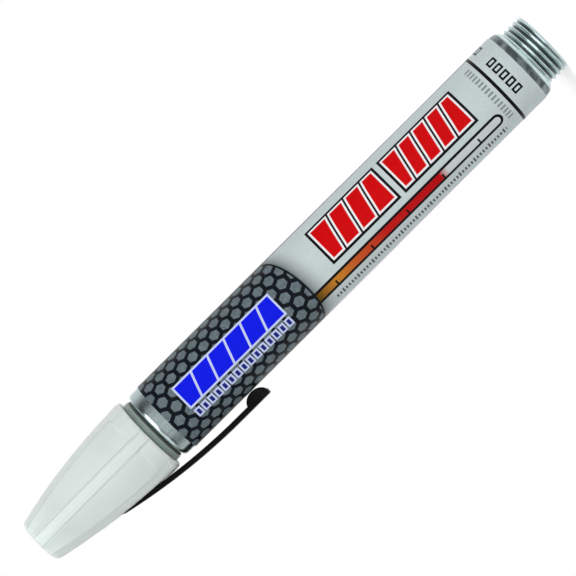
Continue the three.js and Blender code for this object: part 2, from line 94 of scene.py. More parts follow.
CAP_RIM = 109.2
CAP_RADIUS = 8.6
CAP_TAPER_ARC = 117.7
CAP_SHOULDER = 138.3
CAP_TIP_RADIUS = 3.9
CAP_RIBS = 6
RIB_SPACING = 2 * math.pi / CAP_RIBS
RIB_HALF_WIDTH = 1.07  # 1.25 in the solid
RIB_HEIGHT = 0.3
CREASE_WIDTH = 0.18  # 0.3 in the solid
CREASE_DEPTH = 0.12  # 0.15 in the solid
BAND_TOP = 112.2
BAND_FADE = 0.6
BAND_HEIGHT = 0.12
RIM_BEVEL, RIM_EDGE, RIM_ROUND = 0.8, 0.15, 0.35
RIM_RELIEF = 0.6  # share of the relief that the round of the rim has
CAP_BORE_TOP = 117.8
CAP_CAVITY_LOW_RADIUS, CAP_CAVITY_HIGH_RADIUS, CAP_CAVITY_TOP = 5.7, 5.15, 133.9
CAP_CAVITY_BEVEL, CAP_CAVITY_LEAD = 0.4, 0.6
CAP_BORE_LEAD, CAP_BORE_FLARE = 0.4, 0.3

CLIP_THICKNESS = 1.13  # 1.4 in the solid, with the same outer face
CLIP_REACH = 11.05
CLIP_ARC = 133.0
CLIP_STRAIGHT_TOP = 94.5
CLIP_TOP, CLIP_BOTTOM = 123.75, 86.3
CLIP_FOOT_DEPTH, CLIP_FOOT_WIDTH = 6.25, 1.5
CLIP_ROOT_WIDTH, CLIP_END_WIDTH = 4.4, 3.8
CLIP_EDGE = 0.3
BEAD_CENTRE, BEAD_HALF_LENGTH, BEAD_FLOOR = 89.1, 2.7, 8.32
SEAT_CLEARANCE = 0.12

# Screw threads, all right-handed: height of one turn and half the depth of the groove
TAIL_PITCH, TAIL_DEPTH = 1.2, 0.285
CAP_PITCH, CAP_DEPTH = 2.0, 0.18
CAP_THREAD_GAP = 0.14

# Where each thread starts, has its full depth, fades again and ends
TAIL_THREAD = (0.25, 0.8, NECK_TOP - 0.7, NECK_TOP - 0.1)
FRONT_THREAD = (COLLAR_TOP + 0.5, COLLAR_TOP + 1.2, SCREW_TOP - 1.4, SCREW_TOP - 0.7)
CAP_THREAD = (CAP_RIM + 0.9, CAP_RIM + 1.6, CAP_BORE_TOP - 1.4, CAP_BORE_TOP - 0.4)

# Fineness of the meshes
ROUND = 144
NIB_SIDES = 64
PANEL_STEPS = 14
CORNER_STEPS = 5
WIRE_SIDES, WIRE_STEPS_A_TURN = 12, 36
TAIL_THREAD_STEP, FRONT_THREAD_STEP, CAP_THREAD_STEP = 0.075, 0.12, 0.14
SHARP_DEGREES, CAP_SHARP_DEGREES = 35, 32


# Meshes


def on_turn(radius, angle, height):
    """A point at an angle round the marker, in metres."""
    return Vector((-radius * math.sin(angle), -radius * math.cos(angle), height)) * MM


def smooth(value, low, high):
    """0 up to low and 1 from high on, with a soft rise between them."""
    share = min(1.0, max(0.0, (value - low) / (high - low)))
    return share * share * (3 - 2 * share)


def steps(low, high, size):
    """Evenly spaced values from low to high, at most size apart."""
    count = max(1, math.ceil(abs(high - low) / size))
    return [low + (high - low) * i / count for i in range(count + 1)]


def arc(centre, radii, start, end, count=8):
    """[radius, height] points of an arc in a profile, from start to end in degrees."""
    angles = [math.radians(start + (end - start) * i / count) for i in range(count + 1)]
    return [(centre[0] + radii[0] * math.cos(a), centre[1] + radii[1] * math.sin(a)) for a in angles]


def shade(mesh, sharp_degrees=SHARP_DEGREES):
    """Shades a mesh smooth, apart from its sharper edges."""
    mesh.shade_smooth()
    mesh.set_sharp_from_angle(angle=math.radians(sharp_degrees))


def add_piece(name, vertices, faces, body, slot_name, material, replaced):
    """Adds a piece that rides a body and stands for the solids that it replaces."""
    mesh = bpy.data.meshes.new(name)
    mesh.from_pydata(vertices, [], faces)
    mesh.validate()
    shade(mesh)
    mesh.materials.append(material)
    piece = bpy.data.objects.new(name, mesh)
    bpy.context.scene.collection.objects.link(piece)
    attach(piece, body)
    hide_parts(*replaced)
    return piece


def skin(rings):
    """Vertices and faces of a closed skin over rings of points.

    A ring of one point is a pole. Where the first ring isn't one, the last ring meets the first.
    """
    vertices, starts = [], []
    for ring in rings:
        starts.append(len(vertices))
        vertices.extend(ring)
    pairs = list(zip(range(len(rings)), range(1, len(rings))))
    if len(rings[0]) > 1:
        pairs.append((len(rings) - 1, 0))
    faces = []
    for low, high in pairs:
        a, b = starts[low], starts[high]
        na, nb = len(rings[low]), len(rings[high])
        for i in range(max(na, nb)):
            j = (i + 1) % max(na, nb)
            if na == 1:
                faces.append((a, b + i, b + j))
            elif nb == 1:
                faces.append((a + i, b, a + j))
            else:
                faces.append((a + i, b + i, b + j, a + j))
    return vertices, faces


def no_shift(angle, radius, height):
    return 0.0


def revolve(profile, sides=ROUND, shift=no_shift):
    """Turns [radius, height] points, outside first, and lets shift(angle, radius, height) move the radius."""
    angles = [2 * math.pi * i / sides for i in range(sides)]
    rings = []
    for radius, height in profile:
        if radius == 0:
            rings.append([on_turn(0, 0, height)])
        else:
            rings.append([on_turn(radius + shift(a, radius, height), a, height) for a in angles])
    return skin(rings)


def thread_wave(angle, height, pitch):
    """1 on the crest of a right-handed thread and -1 in its root."""
    return math.cos(2 * math.pi * (height / pitch + angle / (2 * math.pi)))


def thread_share(height, thread):
    """1 where a thread has its full depth and 0 beyond its ends."""
    start, full, fading, end = thread
    return smooth(height, start, full) * (1 - smooth(height, fading, end))


# Barrel and sleeve


def barrel_shift(angle, radius, height):
    """The tail's thread, half outside and half inside the neck's radius."""
    tolerance = 0.05
    if radius <= NECK_RADIUS - tolerance or height >= NECK_TOP:
        return 0.0
    return TAIL_DEPTH * thread_share(height, TAIL_THREAD) * thread_wave(angle, height, TAIL_PITCH)


def barrel_profile():
    """A closed tube with a rolled rim: up its outside from the tail's middle, and down its inside."""
    shoulder = (BARREL_RADIUS - NECK_RADIUS, SHOULDER_TOP - NECK_TOP)
    inner_neck = NECK_RADIUS - NECK_WALL
    inner_shoulder = (BARREL_RADIUS - BARREL_WALL - inner_neck, SHOULDER_TOP - NECK_TOP - BARREL_WALL)
    curl_centre = (BARREL_RADIUS - MOUTH_CURL, BARREL_TOP - MOUTH_CURL)
    inner_curl = MOUTH_CURL - BARREL_WALL
    neck_end = NECK_TOP - 0.05
    wall_bottom, wall_top, wall_step = SHOULDER_TOP + 0.4, curl_centre[1] - 0.2, 20
    profile = [(0, 0), (NECK_RADIUS - 2 * NECK_LIP, 0)]
    profile += arc((NECK_RADIUS - NECK_LIP, NECK_LIP), (NECK_LIP, NECK_LIP), -90, 0)
    profile += [(NECK_RADIUS, h) for h in steps(NECK_LIP, neck_end, TAIL_THREAD_STEP)[1:]]
    profile += arc((NECK_RADIUS, SHOULDER_TOP), shoulder, -88, 0, count=16)
    profile += [(BARREL_RADIUS, h) for h in steps(wall_bottom, wall_top, wall_step)]
    profile += arc(curl_centre, (MOUTH_CURL, MOUTH_CURL), 0, 90, count=14)
    profile += [(MOUTH_RADIUS + MOUTH_EDGE, BARREL_TOP), (MOUTH_RADIUS, BARREL_TOP - MOUTH_EDGE)]
    profile += [(MOUTH_RADIUS, BARREL_TOP - BARREL_WALL)]
    profile += arc(curl_centre, (inner_curl, inner_curl), 90, 0)
    profile += arc((inner_neck, SHOULDER_TOP), inner_shoulder, 0, -90)
    profile += [(inner_neck, BARREL_FLOOR), (0, BARREL_FLOOR)]
    return profile


def ring_profile(inner, outer, bottom, top, edge):
    """A flat ring with bevelled edges."""
    profile = [(inner + edge, bottom), (outer - edge, bottom), (outer, bottom + edge), (outer, top - edge)]
    return profile + [(outer - edge, top), (inner + edge, top), (inner, top - edge), (inner, bottom + edge)]


def sleeve_profile():
    inner = SLEEVE_RADIUS - SLEEVE_THICKNESS
    return ring_profile(inner, SLEEVE_RADIUS, SLEEVE_BOTTOM, SLEEVE_TOP, SLEEVE_EDGE)


# Front section, gasket, nib and spring


def front_shift(angle, radius, height):
    """The thread that the cap screws on to, inside the front section's radius."""
    tolerance = 0.01
    if abs(radius - SCREW_RADIUS) >= tolerance or height <= COLLAR_TOP:
        return 0.0
    wave = thread_wave(angle, height, CAP_PITCH)
    return CAP_DEPTH * (thread_share(height, FRONT_THREAD) * (1 + wave) - 1)


def front_profile():
    """Up the outside of skirt, collar, screw and nose, and down through the bores."""
    corner_width, corner_height = 0.05, 0.02
    profile = [(VALVE_BAY_RADIUS, SKIRT_BOTTOM), (SKIRT_RADIUS - SKIRT_BEVEL, SKIRT_BOTTOM)]
    profile += [(SKIRT_RADIUS, SKIRT_BOTTOM + 2 * SKIRT_BEVEL), (SKIRT_RADIUS, COLLAR_BOTTOM - corner_height)]
    profile += [(SKIRT_RADIUS + corner_width, COLLAR_BOTTOM)]
    edge = (COLLAR_EDGE, COLLAR_EDGE)
    profile += arc((COLLAR_RADIUS - COLLAR_EDGE, COLLAR_BOTTOM + COLLAR_EDGE), edge, -90, 0, count=4)
    profile += arc((COLLAR_RADIUS - COLLAR_EDGE, COLLAR_TOP - COLLAR_EDGE), edge, 0, 90, count=4)
    screw = steps(COLLAR_TOP + corner_height, SCREW_TOP - SCREW_BEVEL_HEIGHT, FRONT_THREAD_STEP)
    profile += [(SCREW_RADIUS, h) for h in screw]
    profile += [(SCREW_RADIUS - SCREW_BEVEL_WIDTH, SCREW_TOP), (NOSE_BASE_RADIUS + NOSE_FILLET, SCREW_TOP)]
    fillet = (NOSE_FILLET, NOSE_FILLET)
    profile += arc((NOSE_BASE_RADIUS + NOSE_FILLET, SCREW_TOP + NOSE_FILLET), fillet, -90, -180, count=5)
    edge = (NOSE_EDGE, NOSE_EDGE)
    profile += arc((NOSE_TIP_RADIUS - NOSE_EDGE, NOSE_TIP - NOSE_EDGE), edge, 5, 90, count=5)
    profile += [(NIB_BORE_RADIUS, NOSE_TIP), (NIB_BORE_RADIUS, WADDING_BORE_TOP + WADDING_BORE_BEVEL)]
    profile += [(WADDING_BORE_RADIUS, WADDING_BORE_TOP - WADDING_BORE_BEVEL)]
    profile += [(WADDING_BORE_RADIUS, VALVE_BAY_TOP), (VALVE_BAY_RADIUS, VALVE_BAY_TOP)]
    return profile


def gasket_profile():
    outer = COLLAR_RADIUS - GASKET_MARGIN
    bottom, top = BARREL_TOP + GASKET_GAP, COLLAR_BOTTOM - GASKET_GAP
    return ring_profile(MOUTH_RADIUS + GASKET_GAP, outer, bottom, top, GASKET_EDGE)


def nib_profile():
    profile = [(0, NIB_BOTTOM), (NIB_RADIUS - NIB_EDGE, NIB_BOTTOM), (NIB_RADIUS, NIB_BOTTOM + NIB_EDGE)]
    profile += arc((0, NIB_SHOULDER), (NIB_RADIUS, NIB_TIP - NIB_SHOULDER), 0, 84, count=14)
    return profile + [(0, NIB_TIP)]


def coil_mesh():
    """The valve's spring: a round wire along a helix."""
    inset = SPRING_WIRE_RADIUS + SPRING_END_GAP
    low, high = SPRING_SEAT + inset, SPRING_HEAD - inset
    turned = 2 * math.pi * SPRING_TURNS
    around = [2 * math.pi * side / WIRE_SIDES for side in range(WIRE_SIDES)]
    section = [(math.cos(a) * SPRING_WIRE_RADIUS, math.sin(a) * SPRING_WIRE_RADIUS) for a in around]
    count = WIRE_STEPS_A_TURN * SPRING_TURNS
    rings = [[on_turn(SPRING_RADIUS, 0, low)]]
    for i in range(count + 1):
        angle = turned * i / count
        middle = low + (high - low) * i / count
        rings.append([on_turn(SPRING_RADIUS + out, angle, middle + up) for out, up in section])
    rings.append([on_turn(SPRING_RADIUS, turned, high)])
    return skin(rings)


# Cap


def cap_taper(height):
    """Radius of the cap between its ribs, on an arc that is widest at the rim."""
    rise = height - CAP_RIM
    return CAP_RADIUS - (CAP_TAPER_ARC - math.sqrt(CAP_TAPER_ARC**2 - rise**2))


def cap_relief(angle, height, radius):
    """How far the moulding stands over the taper: ribs, creases, hollow panels and the band at the rim."""
    from_rib = abs((angle + RIB_SPACING / 2) % RIB_SPACING - RIB_SPACING / 2) * radius
    half_spacing = RIB_SPACING / 2 * radius
    foot = RIB_HALF_WIDTH + 2 * CREASE_WIDTH
    place = min(1.0, (half_spacing - from_rib) / (half_spacing - foot))
    band = 1 - smooth(height, BAND_TOP, BAND_TOP + BAND_FADE)
    panel = RIB_HEIGHT * place**2 * (1 - band) + BAND_HEIGHT * band
    rib = 1 - smooth(from_rib, RIB_HALF_WIDTH - CREASE_WIDTH, RIB_HALF_WIDTH + CREASE_WIDTH)
    crease = 1 - smooth(abs(from_rib - RIB_HALF_WIDTH - CREASE_WIDTH), 0, CREASE_WIDTH)
    return panel + (RIB_HEIGHT - panel) * rib - CREASE_DEPTH * crease


def cap_angles(radius):
    """Angles round a ring of the cap, close together at the creases.

    The ribs keep their width along the cap.
    """
    on_rib, in_crease = 0.35, 0.05
    edge, foot = RIB_HALF_WIDTH - CREASE_WIDTH, RIB_HALF_WIDTH + 2 * CREASE_WIDTH
    panel = math.pi / CAP_RIBS * radius - foot
    side = steps(0, edge, on_rib) + steps(edge, foot, in_crease)[1:]
    side += [foot + panel * i / PANEL_STEPS for i in range(1, PANEL_STEPS + 1)]
    sector = [-d for d in reversed(side[1:-1])] + side
    return [rib * RIB_SPACING + d / radius for rib in range(CAP_RIBS) for d in sector]


def plain_ring(radius, height, angles):
    return [on_turn(radius, a, height) for a in angles]


def moulded_ring(radius, height, share=1.0):
    """A ring of the cap's outside, with a share of the relief."""
    return [on_turn(radius + share * cap_relief(a, height, radius), a, height) for a in cap_angles(radius)]


def cap_inside():
    """Rings from the roof of the cap's cavity down its thread to the rim."""
    angles = cap_angles(CAP_RADIUS)
    thread_radius = SCREW_RADIUS + CAP_THREAD_GAP
    rings = [[Vector((0, 0, CAP_CAVITY_TOP * MM))]]
    rings.append(plain_ring(CAP_CAVITY_HIGH_RADIUS - CAP_CAVITY_BEVEL, CAP_CAVITY_TOP, angles))
    rings.append(plain_ring(CAP_CAVITY_HIGH_RADIUS, CAP_CAVITY_TOP - CAP_CAVITY_BEVEL, angles))
    rings.append(plain_ring(CAP_CAVITY_LOW_RADIUS, CAP_BORE_TOP + CAP_CAVITY_LEAD, angles))
    for height in reversed(steps(CAP_RIM + CAP_BORE_LEAD, CAP_BORE_TOP, CAP_THREAD_STEP)):
        share = thread_share(height, CAP_THREAD)
        middle = thread_radius + CAP_DEPTH * (1 - share)
        depth = CAP_DEPTH * share
        rings.append([on_turn(middle + depth * thread_wave(a, height, CAP_PITCH), a, height) for a in angles])
    rings.append(plain_ring(thread_radius + CAP_DEPTH + CAP_BORE_FLARE, CAP_RIM, angles))
    return rings


def cap_outside():
    """Rings from the rim up the ribbed taper to the tip."""
    flat_radius = CAP_RADIUS - RIM_ROUND
    rim_turn, tip_turn = 15, 9  # degrees from ring to ring
    rings = [plain_ring(flat_radius, CAP_RIM, cap_angles(CAP_RADIUS))]
    for degrees in range(-90, 1, rim_turn):
        turn = math.radians(degrees)
        height = CAP_RIM + (RIM_BEVEL - RIM_EDGE) * (1 + math.sin(turn))
        share = RIM_RELIEF * math.cos(turn)
        rings.append(moulded_ring(flat_radius + RIM_ROUND * math.cos(turn), height, share))
    rim_top, band_end = CAP_RIM + RIM_BEVEL, BAND_TOP + BAND_FADE
    rings.append(moulded_ring(CAP_RADIUS, rim_top + 0.1))
    on_band, on_fade, on_taper = 0.5, 0.1, 0.6
    heights = steps(rim_top + 0.3, BAND_TOP, on_band)
    heights += steps(BAND_TOP, band_end, on_fade)[1:] + steps(band_end, CAP_SHOULDER, on_taper)[1:]
    rings += [moulded_ring(cap_taper(h), h) for h in heights]
    reach, rise = cap_taper(CAP_SHOULDER) - CAP_TIP_RADIUS, OVERALL_LENGTH - CAP_SHOULDER
    for degrees in range(tip_turn, 91, tip_turn):
        turn = math.radians(degrees)
        height = CAP_SHOULDER + rise * math.sin(turn)
        rings.append(moulded_ring(CAP_TIP_RADIUS + reach * math.cos(turn), height, math.cos(turn)))
    rings.append(plain_ring(CAP_TIP_RADIUS / 2, OVERALL_LENGTH, cap_angles(CAP_TIP_RADIUS)))
    rings.append([Vector((0, 0, OVERALL_LENGTH * MM))])
    return rings


def clip_seat():
    """The ramp and pocket that the clip lies in, as a solid to cut out of the cap."""
    overshoot = 1
    half = CLIP_ROOT_WIDTH / 2 + SEAT_CLEARANCE
    beyond = CLIP_REACH + overshoot
    bottom = CAP_RIM - overshoot
    pocket_bottom = CLIP_TOP - CLIP_FOOT_WIDTH - SEAT_CLEARANCE
    pocket_top = CLIP_TOP + SEAT_CLEARANCE
    floor = CLIP_FOOT_DEPTH - SEAT_CLEARANCE
    ramp = [(h, clip_outer(h) - CLIP_THICKNESS - SEAT_CLEARANCE) for h in steps(bottom, pocket_bottom, 0.8)]
    pocket = [(pocket_bottom, floor), (pocket_top, floor), (pocket_top, beyond)]
    outline = [(bottom, beyond), *ramp, *pocket]
    count = len(outline)
    vertices = [Vector((-d, y, h)) * MM for y in (-half, half) for h, d in outline]
    faces = [tuple(range(count)), tuple(reversed(range(count, 2 * count)))]
    faces += [(i, i + count, (i + 1) % count + count, (i + 1) % count) for i in range(count)]
    mesh = bpy.data.meshes.new("clip_seat")
    mesh.from_pydata(vertices, [], faces)
    return bpy.data.objects.new("clip_seat", mesh)


def cut_away(piece, tool):
    """Cuts the tool out of the piece and deletes the tool."""
    bpy.context.scene.collection.objects.link(tool)
    cut = piece.modifiers.new("seat", "BOOLEAN")
    cut.operation, cut.object, cut.solver = "DIFFERENCE", tool, "EXACT"
    graph = bpy.context.evaluated_depsgraph_get()
    made = bpy.data.meshes.new_from_object(piece.evaluated_get(graph))
    piece.modifiers.clear()
    piece.data = made
    shade(made, CAP_SHARP_DEGREES)
    bpy.data.objects.remove(tool)


# Clip


def clip_outer(height):
    """Distance of the strip's outer face from the axis: straight below, and an arc above."""
    rise = max(0.0, height - CLIP_STRAIGHT_TOP)
    return CLIP_REACH - (CLIP_ARC - math.sqrt(CLIP_ARC**2 - rise**2))


def clip_inner(height):
    """Distance of the strip's inner face from the axis, with the bead and the foot."""
    if height > CLIP_TOP - CLIP_FOOT_WIDTH:
        return CLIP_FOOT_DEPTH
    strip = clip_outer(height) - CLIP_THICKNESS
    middle = CLIP_REACH - CLIP_THICKNESS / 2
    along = (height - BEAD_CENTRE) / BEAD_HALF_LENGTH
    if abs(along) >= 1:
        return strip
    return min(strip, middle - (middle - BEAD_FLOOR) * math.sqrt(1 - along**2))


def clip_half_width(height):
    """Half the strip's width: a round free end, and sides that spread to the cap's rim."""
    half_end, half_root = CLIP_END_WIDTH / 2, CLIP_ROOT_WIDTH / 2
    end_centre = CLIP_BOTTOM + half_end
    if height < end_centre:
        return math.sqrt(max(0.0, half_end**2 - (end_centre - height) ** 2))
    share = min(1.0, (height - end_centre) / (CAP_RIM - end_centre))
    return half_end + (half_root - half_end) * share


def clip_ring(height, inset=0.0):
    """A rounded rectangle across the clip, drawn in by inset on every side."""
    least_half = 0.02
    width_share, thickness_share = 0.9, 0.45  # that an edge takes at most, where the clip is narrow
    outer, inner = clip_outer(height) - inset, clip_inner(height) + inset
    half = max(least_half, clip_half_width(height) - inset)
    edge = min(CLIP_EDGE, half * width_share, (outer - inner) * thickness_share)
    centres = [(outer - edge, half - edge), (inner + edge, half - edge)]
    centres += [(inner + edge, edge - half), (outer - edge, edge - half)]
    ring = []
    for corner, (distance, across) in enumerate(centres):
        for i in range(CORNER_STEPS + 1):
            turn = math.radians(90 * corner + 90 * i / CORNER_STEPS)
            x, y = distance + edge * math.cos(turn), across + edge * math.sin(turn)
            ring.append(Vector((-x, -y, height)) * MM)
    return ring


def clip_end_inset(height):
    """How far the free end is drawn in, so that its edge is round."""
    inset, slope = 0.12, 0.4
    return max(0.0, inset - (height - CLIP_BOTTOM) * slope)


def clip_mesh():
    """The strip from its free end to its foot, with finer rings at the end and along the bead."""
    end_start, end_top = CLIP_BOTTOM + 0.04, CLIP_BOTTOM + 0.6
    bead_top = BEAD_CENTRE + BEAD_HALF_LENGTH
    foot, half_step = CLIP_TOP - CLIP_FOOT_WIDTH, 0.01
    foot_round = {0.05: 0.06, 0.0: 0.2}  # how far the last rings are drawn in, by their depth below the top
    on_end, on_bead, on_strip, on_foot = 0.05, 0.1, 0.6, 0.3
    heights = steps(end_start, end_top, on_end) + steps(end_top, bead_top, on_bead)[1:]
    heights += steps(bead_top, foot - half_step, on_strip)[1:]
    heights += steps(foot + half_step, CLIP_TOP - 0.2, on_foot)
    rings = [clip_ring(h, clip_end_inset(h)) for h in heights]
    rings += [clip_ring(CLIP_TOP - depth, inset) for depth, inset in foot_round.items()]
    start, end = [[sum(ring, Vector()) / len(ring)] for ring in (rings[0], rings[-1])]
    return skin([start, *rings, end])


# Materials


def rgb(red, green, blue):
    """A colour as seen on screen, 0 to 255, made linear."""
    channels = [c / 255 for c in (red, green, blue)]
    linear = [c / 12.92 if c <= 0.04045 else ((c + 0.055) / 1.055) ** 2.4 for c in channels]
    return (*linear, 1.0)


# Scales of the noise patterns, per metre
FLOW_SCALE, WEAR_SCALE, GRAIN_SCALE = 90, 900, 2600
STREAK_SCALE, PATCH_SCALE, REFLECTION_PATCH_SCALE = 1500, 260, 600
FIBRE_SCALE, HAZE_SCALE, MOTTLE_SCALE = 3200, 700, 1400

# Parts of a noise's range over which a colour or roughness turns into another
WIDE, MIDDLE, NARROW = (0.2, 0.8), (0.3, 0.7), (0.35, 0.65)

ALUMINIUM_BRIGHT, ALUMINIUM_DULL = rgb(208, 223, 224), rgb(180, 198, 200)
# Painted shade in the roots of the tail's thread, and a painted dark reflection round the shoulder
THREAD_PAINTED_SHADE, SHOULDER_PAINTED_REFLECTION = rgb(36, 42, 44), rgb(52, 60, 62)
REFLECTION_WIDTH, REFLECTION_FADE = 1.5, 0.3
# The crease colour is painted shade, which darkens the creases beside the cap's ribs
CAP_WHITE, CAP_SHADE, CREASE_PAINTED_SHADE = rgb(228, 238, 234), rgb(222, 233, 228), rgb(184, 200, 192)
CREASE_SHARE, METAL_SHADE_SHARE = 0.6, 0.95  # how much of the clean colour the painted shade hides
OUTSIDE_DEPTH = 0.5  # how deep below the taper the cap's outside reaches
CREASE_SHADE_HALF, CREASE_SHADE_FADE = 0.15, 0.3  # half the width of the painted shade in a crease, and how softly it ends


class Value:
    """A number in a shader's node tree. Python's operators on it add math nodes."""

    def __init__(self, tree, source):
        self.tree, self.source = tree, source

    def math(self, operation, *others, clamp=False):
        node = self.tree.nodes.new("ShaderNodeMath")
        node.operation, node.use_clamp = operation, clamp
        for socket, value in zip(node.inputs, (self, *others)):
            if isinstance(value, Value):
                self.tree.links.new(value.source, socket)
            else:
                socket.default_value = value
        return Value(self.tree, node.outputs[0])

    def __add__(self, other):
        return self.math("ADD", other)

    def __sub__(self, other):
        return self.math("SUBTRACT", other)

    def __mul__(self, other):
        return self.math("MULTIPLY", other)

    def __truediv__(self, other):
        return self.math("DIVIDE", other)

    def __neg__(self):
        return self.math("MULTIPLY", -1.0)

    def __abs__(self):
        return self.math("ABSOLUTE")

    def __mod__(self, period):
        return self.math("FLOORED_MODULO", period)

    def at_least(self, other):
        return self.math("MAXIMUM", other)

    def at_most(self, other):
        return self.math("MINIMUM", other)

    def under(self, edge, softness=0.05):
        """1 where this is below the edge and 0 above it, over softness."""
        return (-(self - edge)).math("MULTIPLY_ADD", 1 / softness, 0.5, clamp=True)

    def between(self, low, high, softness=0.05):
        """1 from low to high and 0 beyond them, over softness."""
        return abs(self - (low + high) / 2).under((high - low) / 2, softness)

    def ramp(self, low, high):
        """0 at low and 1 at high, and level beyond them."""
        return self.math("MULTIPLY_ADD", 1 / (high - low), -low / (high - low), clamp=True)

    def from_marks(self, pitch):
        """Distance from the nearest of a row of marks, half a pitch from 0 and a pitch apart."""
        return abs(self % pitch - pitch / 2)


def length(first, second):
    return (first * first + second * second).math("SQRT")


def new_material(name, **settings):
    """A Principled material with these sockets set. Returns the material, its tree and its shader."""
    material = bpy.data.materials.new(name)
    material.use_nodes = True
    tree = material.node_tree
    shader = tree.nodes["Principled BSDF"]
    for socket, value in settings.items():
        shader.inputs[socket.replace("_", " ")].default_value = value
    return material, tree, shader


def feed(shader, socket, source):
    """Links a value, or another node's output, to one of the shader's sockets."""
    output = source.source if isinstance(source, Value) else source
    shader.id_data.links.new(output, shader.inputs[socket])


def place_of(tree):
    """x, y and z in the row frame in millimetres, as values."""
    coordinates = tree.nodes.new("ShaderNodeTexCoord")
    split = tree.nodes.new("ShaderNodeSeparateXYZ")
    tree.links.new(coordinates.outputs["Object"], split.inputs[0])
    return [Value(tree, split.outputs[i]) * (1 / MM) for i in range(3)]


def noise(tree, scale, detail=3.0, roughness=0.5, stretch=(1, 1, 1)):
    """Noise of scale per metre in the row frame, stretched along the axes."""
    coordinates = tree.nodes.new("ShaderNodeTexCoord")
    mapping = tree.nodes.new("ShaderNodeMapping")
    mapping.inputs["Scale"].default_value = stretch
    texture = tree.nodes.new("ShaderNodeTexNoise")
    texture.inputs["Scale"].default_value = scale
    texture.inputs["Detail"].default_value = detail
    texture.inputs["Roughness"].default_value = roughness
    tree.links.new(coordinates.outputs["Object"], mapping.inputs[0])
    tree.links.new(mapping.outputs[0], texture.inputs["Vector"])
    return Value(tree, texture.outputs["Fac"])


def blend(share, low, high):
    """Colour between low and high, each a colour or another node's output."""
    tree = share.tree
    node = tree.nodes.new("ShaderNodeMix")
    node.data_type = "RGBA"
    colour_sockets = [s for s in node.inputs if s.type == "RGBA"]
    tree.links.new(share.source, node.inputs["Factor"])
    for socket, value in zip(colour_sockets, (low, high)):
        if isinstance(value, tuple):
            socket.default_value = value
        else:
            tree.links.new(value, socket)
    return next(s for s in node.outputs if s.type == "RGBA")


def paint_shade_over(shader, share, colour):
    """Mixes a share of a dark colour over the shader's base colour: painted shade and painted dark
    reflections.
    """
    clean = shader.inputs["Base Color"].links[0].from_socket
    feed(shader, "Base Color", blend(share, clean, colour))


def roughen(shader, share, low, spread):
    """Roughness from low up to low + spread, by a share."""
    feed(shader, "Roughness", share * spread + low)


def bump(shader, height, distance_mm, strength):
    """Bumps the surface by a height from 0 to 1, where 1 stands for the distance."""
    tree = shader.id_data
    node = tree.nodes.new("ShaderNodeBump")
    node.inputs["Distance"].default_value = distance_mm * MM
    node.inputs["Strength"].default_value = strength
    tree.links.new(height.source, node.inputs["Height"])
    tree.links.new(node.outputs[0], shader.inputs["Normal"])


def moulded_plastic(name, colour, shade_colour, roughness, grain_mm=0.015, **settings):
    """Plastic with faint flow marks in its colour and a fine moulded grain."""
    material, tree, shader = new_material(name, Roughness=roughness, **settings)
    flow = noise(tree, FLOW_SCALE, stretch=(1, 1, 0.35))
    wear, grain = noise(tree, WEAR_SCALE, detail=2), noise(tree, GRAIN_SCALE, detail=2)
    spread = 0.1
    feed(shader, "Base Color", blend(flow.ramp(*MIDDLE), colour, shade_colour))
    roughen(shader, wear.ramp(*WIDE), roughness - spread / 2, spread)
    bump(shader, grain, grain_mm, strength=0.35)
    return material


def cap_material():
    """Translucent plastic, with painted shade in the creases beside the ribs."""
    sheen = dict(Sheen_Weight=1.0, Sheen_Roughness=0.4)
    glow = dict(Subsurface_Weight=0.5, Subsurface_Radius=(1, 1, 0.95), Subsurface_Scale=0.003)
    material = moulded_plastic("cap_plastic", CAP_WHITE, CAP_SHADE, 0.42, **glow, **sheen)
    tree = material.node_tree
    x, y, height = place_of(tree)
    radius, rise = length(x, y), height - CAP_RIM
    inside = -(rise * rise * (1 / (2 * CAP_TAPER_ARC))) + (CAP_RADIUS - OUTSIDE_DEPTH)
    outside = (inside - radius).under(0)
    from_rib = abs((x.math("ARCTAN2", y) + RIB_SPACING / 2) % RIB_SPACING - RIB_SPACING / 2) * radius
    # painted shade: the creases beside the ribs are darkened in the base colour
    crease = abs(from_rib - RIB_HALF_WIDTH - CREASE_WIDTH).under(CREASE_SHADE_HALF, CREASE_SHADE_FADE) * outside
    paint_shade_over(tree.nodes["Principled BSDF"], crease * CREASE_SHARE, CREASE_PAINTED_SHADE)
    return material


def barrel_material():
    """Drawn aluminium, with streaks along it, painted shade in the tail's thread and a painted dark
    reflection round the shoulder.
    """
    material, tree, shader = new_material("drawn_aluminium", Metallic=1.0)
    streaks = noise(tree, STREAK_SCALE, detail=4, roughness=0.6, stretch=(1, 1, 0.06))
    patches = noise(tree, PATCH_SCALE, roughness=0.55, stretch=(1, 1, 0.5))
    tint = (streaks * 0.6 + patches * 0.4).ramp(*NARROW)
    feed(shader, "Base Color", blend(tint, ALUMINIUM_DULL, ALUMINIUM_BRIGHT))
    roughen(shader, patches.ramp(*MIDDLE), low=0.17, spread=0.1)
    bump(shader, streaks, distance_mm=0.008, strength=0.2)
    x, y, height = place_of(tree)
    # painted shade: the roots of the tail's thread are darkened in the base colour
    root = length(x, y).ramp(NECK_RADIUS, NECK_RADIUS - TAIL_DEPTH)
    paint_shade_over(shader, root * height.between(NECK_LIP, NECK_TOP, softness=0.1) * METAL_SHADE_SHARE, THREAD_PAINTED_SHADE)
    # painted dark reflection: a ring round the shoulder is darkened unevenly in the base colour
    shoulder = height.between(SHOULDER_TOP - REFLECTION_WIDTH, SHOULDER_TOP, REFLECTION_FADE)
    uneven = noise(tree, REFLECTION_PATCH_SCALE).ramp(0.25, 0.6) * 0.4 + 0.6
    paint_shade_over(shader, shoulder * uneven * METAL_SHADE_SHARE, SHOULDER_PAINTED_REFLECTION)
    return material


